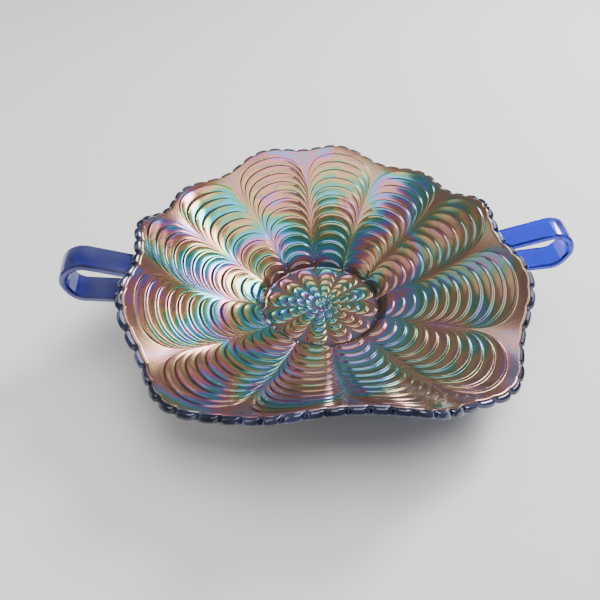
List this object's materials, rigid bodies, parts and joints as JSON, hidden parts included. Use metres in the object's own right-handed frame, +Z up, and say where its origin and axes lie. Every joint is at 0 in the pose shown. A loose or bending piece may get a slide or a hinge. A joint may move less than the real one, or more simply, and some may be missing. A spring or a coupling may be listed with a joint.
{
  "type": "bonbon bowl",
  "caption": "Two-handled ruffled bonbon bowl in iridescent cobalt glass, with a petal-and-arc pattern inside, a notched rim and a collar foot.",
  "frame": {"origin": "centre of the circle that the collar foot rests on, at the table", "axes": "+Z up, +X through the middle of the right handle, +Y towards the back of the bowl"},
  "size_m": [0.1849, 0.1432, 0.0441],
  "materials": {
    "iridised_glass": "iridescent lustre over dark blue glass",
    "cobalt_glass": "gloss, thin lustre"
  },
  "bodies": {
    "root": {"bowl_floor": "iridised_glass", "bowl_wall": "iridised_glass", "rim_band": "cobalt_glass", "collar_foot": "cobalt_glass", "handle_left": "cobalt_glass", "handle_right": "cobalt_glass"}
  },
  "joints": []
}
